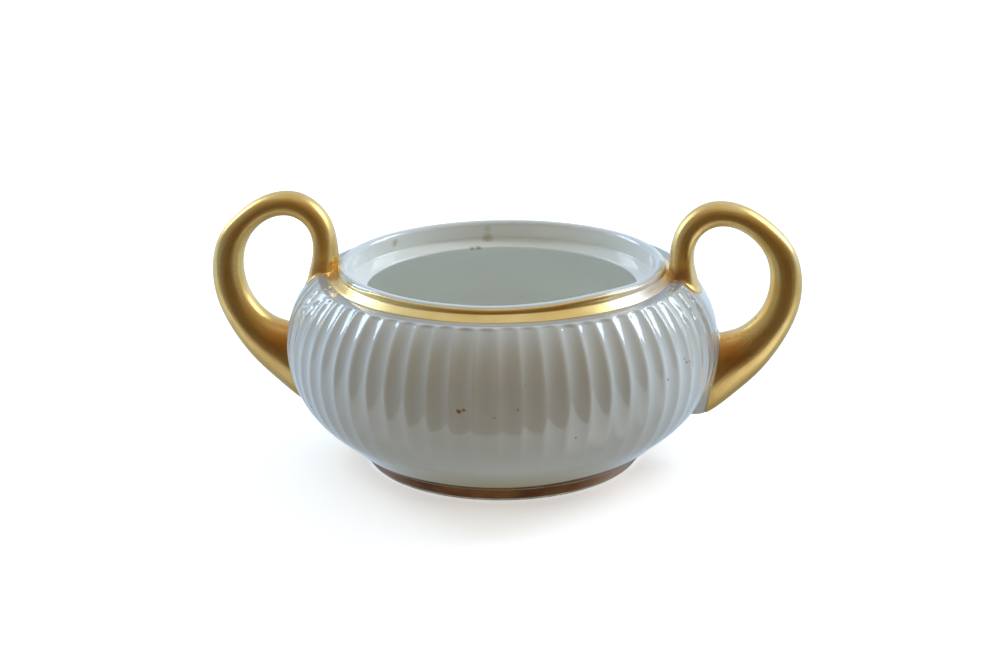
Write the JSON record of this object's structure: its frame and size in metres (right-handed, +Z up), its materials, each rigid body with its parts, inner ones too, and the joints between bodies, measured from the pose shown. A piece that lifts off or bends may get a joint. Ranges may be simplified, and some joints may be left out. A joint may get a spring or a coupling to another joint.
{
  "type": "sugar bowl",
  "caption": "Open round sugar bowl with a fluted belly, a low foot, a ledge inside the neck for a lid, and loop handles at both sides; gilded neck, foot and handles.",
  "frame": {"origin": "centre of the foot's underside, on the bowl's axis", "axes": "+Z up along the bowl's axis; the handles lie in the XZ plane, the left one towards -X and the right one towards +X"},
  "size_m": [0.1642, 0.12, 0.0738],
  "materials": {
    "porcelain": "gloss",
    "biscuit_foot": "matte",
    "slip": "gloss",
    "handle_gold": "satin",
    "neck_gold": "satin",
    "foot_gold": "satin"
  },
  "bodies": {
    "root": {"bowl_body": "porcelain", "foot_ring": "biscuit_foot", "left_handle": "porcelain", "right_handle": "porcelain", "left_lower_slip_joint": "slip", "left_upper_slip_joint": "slip", "right_lower_slip_joint": "slip", "right_upper_slip_joint": "slip", "left_handle_gilding": "handle_gold", "right_handle_gilding": "handle_gold", "neck_gilding": "neck_gold", "foot_gilding": "foot_gold"}
  },
  "joints": []
}
